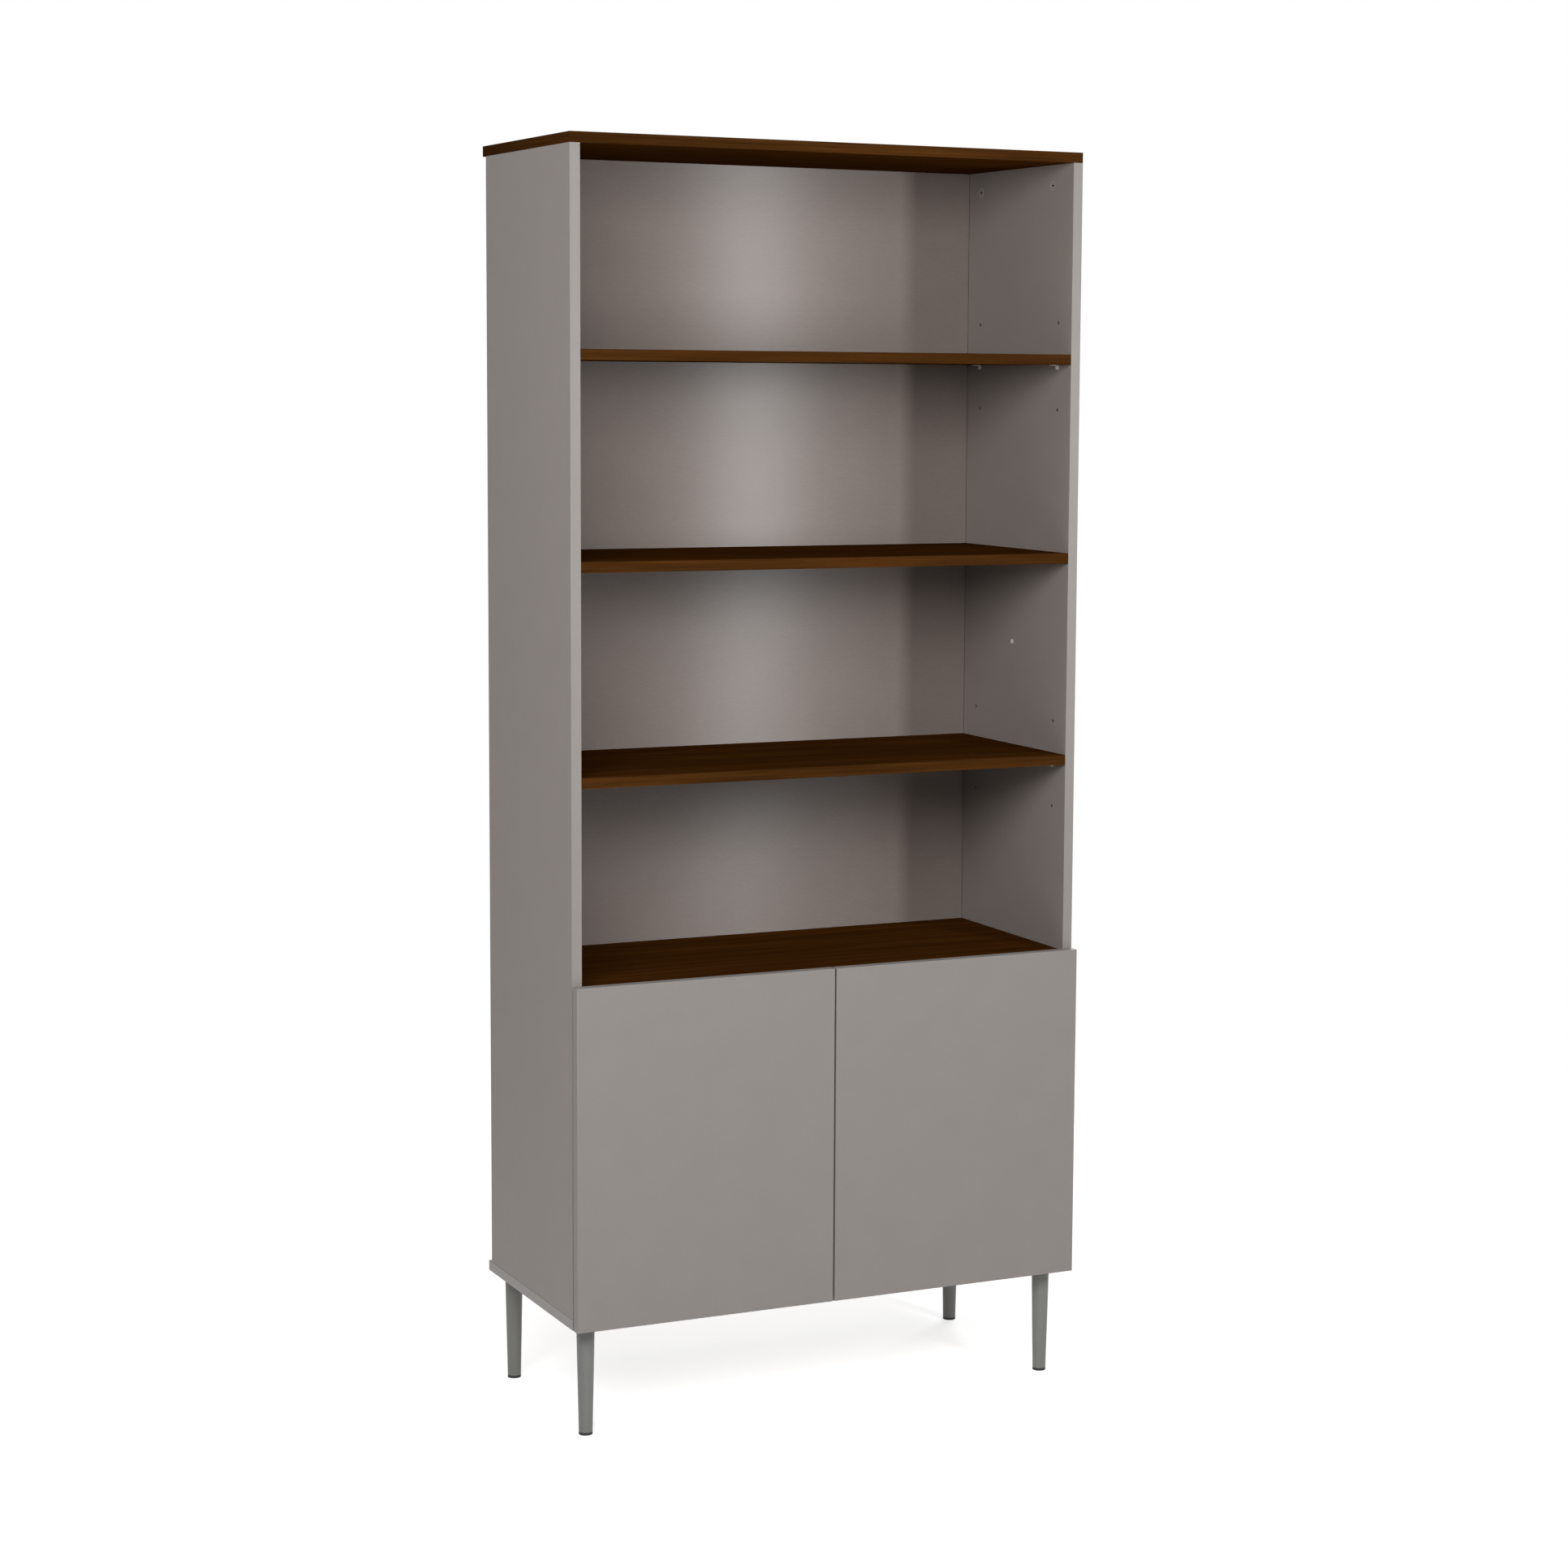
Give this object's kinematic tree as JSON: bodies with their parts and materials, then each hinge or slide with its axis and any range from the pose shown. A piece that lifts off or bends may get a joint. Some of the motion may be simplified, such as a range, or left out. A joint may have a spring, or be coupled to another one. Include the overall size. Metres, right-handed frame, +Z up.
{
  "type": "bookcase with cabinet doors",
  "caption": "Tall open bookcase with walnut shelves between grey sides, a low cupboard with flush handleless double doors, and slim tapered round legs.",
  "frame": {"origin": "centre of the footprint, on the floor under the foot glides", "axes": "+X to the right seen from the front, +Y to the back, +Z up; the doors face -Y"},
  "size_m": [0.8, 0.37, 1.832],
  "materials": {
    "walnut_board": "satin walnut-print melamine on chipboard",
    "walnut_edging": "satin walnut-print edging",
    "grey_board": "matt warm grey melamine on chipboard",
    "grey_edging": "matt warm grey edging",
    "door_front": "matt warm grey foil on fibreboard",
    "back_hardboard": "warm grey printed hardboard",
    "beech": "bare",
    "leg_steel": "satin grey powder coat",
    "black_plastic": "matt",
    "pale_plastic": "matt",
    "nickel_pins": "nickel plate",
    "grey_plastic": "satin",
    "zinc_casting": "cast, unpolished",
    "zinc_steel": "zinc plate",
    "nickel_steel": "nickel plate"
  },
  "bodies": {
    "cabinet": {"back_sheet": "back_hardboard", "blanking_caps": "pale_plastic", "bottom_board": "grey_board", "cam_bolts": "zinc_steel", "cam_locks": "zinc_casting", "cupboard_loose_shelf": "grey_board", "cupboard_top_board": "walnut_board", "foot_glides": "black_plastic", "front_left_leg": "leg_steel", "front_right_leg": "leg_steel", "grey_edge_bands": "grey_edging", "hinge_arm_screws": "zinc_steel", "hinge_plate_screws": "zinc_steel", "inner_shelf_supports": "pale_plastic", "latch_screws": "zinc_steel", "left_hinge_arms": "nickel_steel", "left_hinge_plates": "nickel_steel", "left_latch_housing": "grey_plastic", "left_side_panel": "grey_board", "leg_plates": "leg_steel", "leg_screws": "zinc_steel", "lower_loose_shelf": "walnut_board", "lower_shelf_supports": "pale_plastic", "middle_fixed_shelf": "walnut_board", "rear_left_leg": "leg_steel", "rear_right_leg": "leg_steel", "right_hinge_arms": "nickel_steel", "right_hinge_plates": "nickel_steel", "right_latch_housing": "grey_plastic", "right_side_panel": "grey_board", "top_board": "walnut_board", "upper_loose_shelf": "walnut_board", "upper_shelf_supports": "pale_plastic", "walnut_edge_bands": "walnut_edging", "wooden_dowels": "beech"},
    "left_door": {"left_cup_screws": "zinc_steel", "left_door": "door_front", "left_hinge_cups": "nickel_steel", "left_hinge_pins": "nickel_pins", "left_strike_plate": "zinc_steel", "left_strike_screw": "zinc_steel"},
    "left_latch_plunger": {"left_latch_magnet": "zinc_steel", "left_latch_plunger": "grey_plastic"},
    "right_door": {"right_cup_screws": "zinc_steel", "right_door": "door_front", "right_hinge_cups": "nickel_steel", "right_hinge_pins": "nickel_pins", "right_strike_plate": "zinc_steel", "right_strike_screw": "zinc_steel"},
    "right_latch_plunger": {"right_latch_magnet": "zinc_steel", "right_latch_plunger": "grey_plastic"}
  },
  "joints": [
    {"name": "left_door_hinge", "type": "hinge", "parent": "cabinet", "child": "left_door", "pos_m": [-0.393, -0.1765, 0.4085], "axis": [0, 0, -1], "range_deg": [0, 105]},
    {"name": "left_latch_slide", "type": "slide", "parent": "cabinet", "child": "left_latch_plunger", "axis": [0, -1, 0], "range_m": [0, 0.02]},
    {"name": "right_door_hinge", "type": "hinge", "parent": "cabinet", "child": "right_door", "pos_m": [0.393, -0.1765, 0.4085], "axis": [0, 0, 1], "range_deg": [0, 105]},
    {"name": "right_latch_slide", "type": "slide", "parent": "cabinet", "child": "right_latch_plunger", "axis": [0, -1, 0], "range_m": [0, 0.02]}
  ],
  "couplings": [
    {"joint": "left_latch_slide", "follows": "left_door_hinge", "m_per_rad": 0.0109},
    {"joint": "right_latch_slide", "follows": "right_door_hinge", "m_per_rad": 0.0109}
  ]
}
